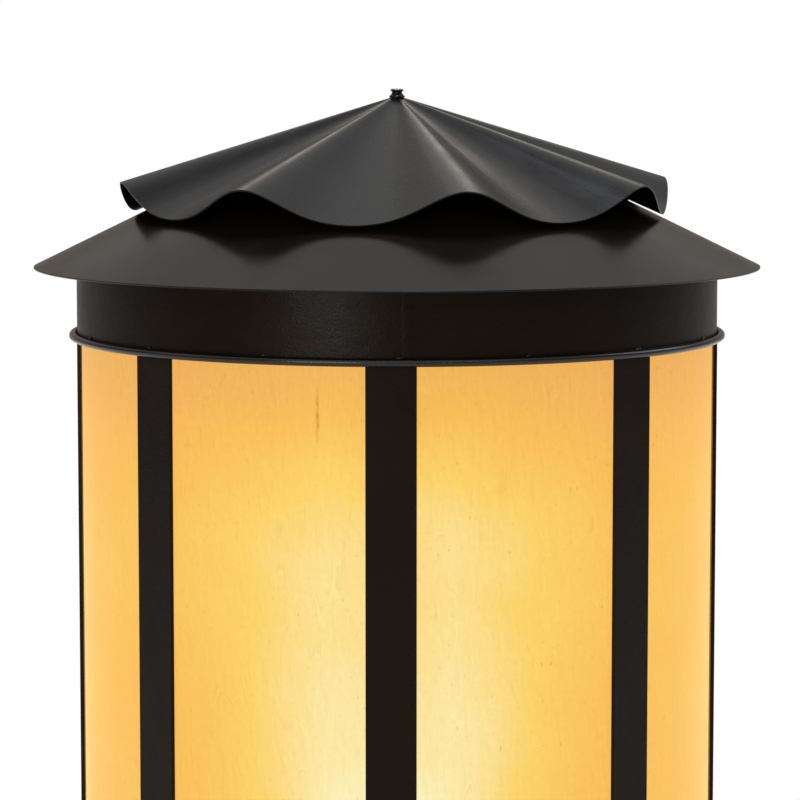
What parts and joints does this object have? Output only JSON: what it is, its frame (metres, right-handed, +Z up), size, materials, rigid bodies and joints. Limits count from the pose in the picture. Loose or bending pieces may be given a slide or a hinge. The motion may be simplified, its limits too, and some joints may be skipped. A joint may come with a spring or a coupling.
{
  "type": "pier mount light",
  "caption": "Round drum lantern for a pier top: honey diffuser panels behind flat bars, conical roof, fluted lift-off cap held by a finial, lamps inside.",
  "frame": {"origin": "centre of the pier plate's underside, on the pier", "axes": "+Z up along the lantern's axis, -Y to the front bar"},
  "size_m": [0.5842, 0.5842, 0.7807],
  "materials": {
    "black_powder_coat": "satin",
    "honey_diffuser": "satin",
    "zinc_plate": "satin",
    "white_enamel": "gloss",
    "black_nylon": "matte",
    "lead_sheath": "matte",
    "porcelain": "gloss",
    "brass": "satin",
    "nickel_base": "satin",
    "frosted_glass": "frosted"
  },
  "bodies": {
    "cage": {"pier_plate": "black_powder_coat", "base_screws": "zinc_plate", "cable_bushing": "black_nylon", "bottom_band": "black_powder_coat", "bottom_bead": "black_powder_coat", "panel_ledge": "black_powder_coat", "top_band": "black_powder_coat", "top_bead": "black_powder_coat", "hoop_studs": "zinc_plate", "panel_hoop_bottom": "zinc_plate", "panel_hoop_top": "zinc_plate", "hoop_nuts": "zinc_plate", "lamp_deck": "white_enamel", "deck_screws": "zinc_plate", "terminal_block": "black_nylon", "block_screws": "zinc_plate", "lamp_leads": "lead_sheath", "lamp_stems": "zinc_plate", "stem_locknuts": "zinc_plate", "socket_shells": "brass", "top_spider": "black_powder_coat", "roof_stud": "zinc_plate", "stud_nuts": "zinc_plate", "bar_1": "black_powder_coat", "bar_2": "black_powder_coat", "bar_3": "black_powder_coat", "bar_4": "black_powder_coat", "bar_5": "black_powder_coat", "bar_6": "black_powder_coat", "bar_7": "black_powder_coat", "bar_8": "black_powder_coat", "panel_1": "honey_diffuser", "panel_2": "honey_diffuser", "panel_3": "honey_diffuser", "panel_4": "honey_diffuser", "panel_5": "honey_diffuser", "panel_6": "honey_diffuser", "panel_7": "honey_diffuser", "panel_8": "honey_diffuser", "lampholder_1": "porcelain", "lampholder_2": "porcelain", "lampholder_3": "porcelain", "lampholder_4": "porcelain"},
    "roof": {"roof_cone": "black_powder_coat", "roof_collar": "black_powder_coat"},
    "cap": {"fluted_cap": "black_powder_coat"},
    "washer": {"finial_washer": "black_powder_coat"},
    "finial": {"finial": "black_powder_coat"},
    "bulb_1": {"bulb_base_1": "nickel_base", "bulb_glass_1": "frosted_glass"},
    "bulb_2": {"bulb_base_2": "nickel_base", "bulb_glass_2": "frosted_glass"},
    "bulb_3": {"bulb_base_3": "nickel_base", "bulb_glass_3": "frosted_glass"},
    "bulb_4": {"bulb_base_4": "nickel_base", "bulb_glass_4": "frosted_glass"}
  },
  "joints": [
    {"name": "roof_lift", "type": "slide", "parent": "cage", "child": "roof", "axis": [0, 0, 1], "range_m": [0, 0.25]},
    {"name": "cap_lift", "type": "slide", "parent": "roof", "child": "cap", "axis": [0, 0, 1], "range_m": [0, 0.15]},
    {"name": "finial_rise", "type": "slide", "parent": "cap", "child": "washer", "axis": [0, 0, 1], "range_m": [0, 0.00317]},
    {"name": "finial_turn", "type": "hinge", "parent": "washer", "child": "finial", "pos_m": [0, 0, 0.778], "axis": [0, 0, 1], "range_deg": [0, 1085]},
    {"name": "bulb_1_lift", "type": "slide", "parent": "cage", "child": "bulb_1", "axis": [0, 0, 1], "range_m": [0, 0.035]},
    {"name": "bulb_2_lift", "type": "slide", "parent": "cage", "child": "bulb_2", "axis": [0, 0, 1], "range_m": [0, 0.035]},
    {"name": "bulb_3_lift", "type": "slide", "parent": "cage", "child": "bulb_3", "axis": [0, 0, 1], "range_m": [0, 0.035]},
    {"name": "bulb_4_lift", "type": "slide", "parent": "cage", "child": "bulb_4", "axis": [0, 0, 1], "range_m": [0, 0.035]}
  ],
  "couplings": [
    {"joint": "finial_turn", "follows": "finial_rise", "rad_per_m": 5938.7}
  ]
}
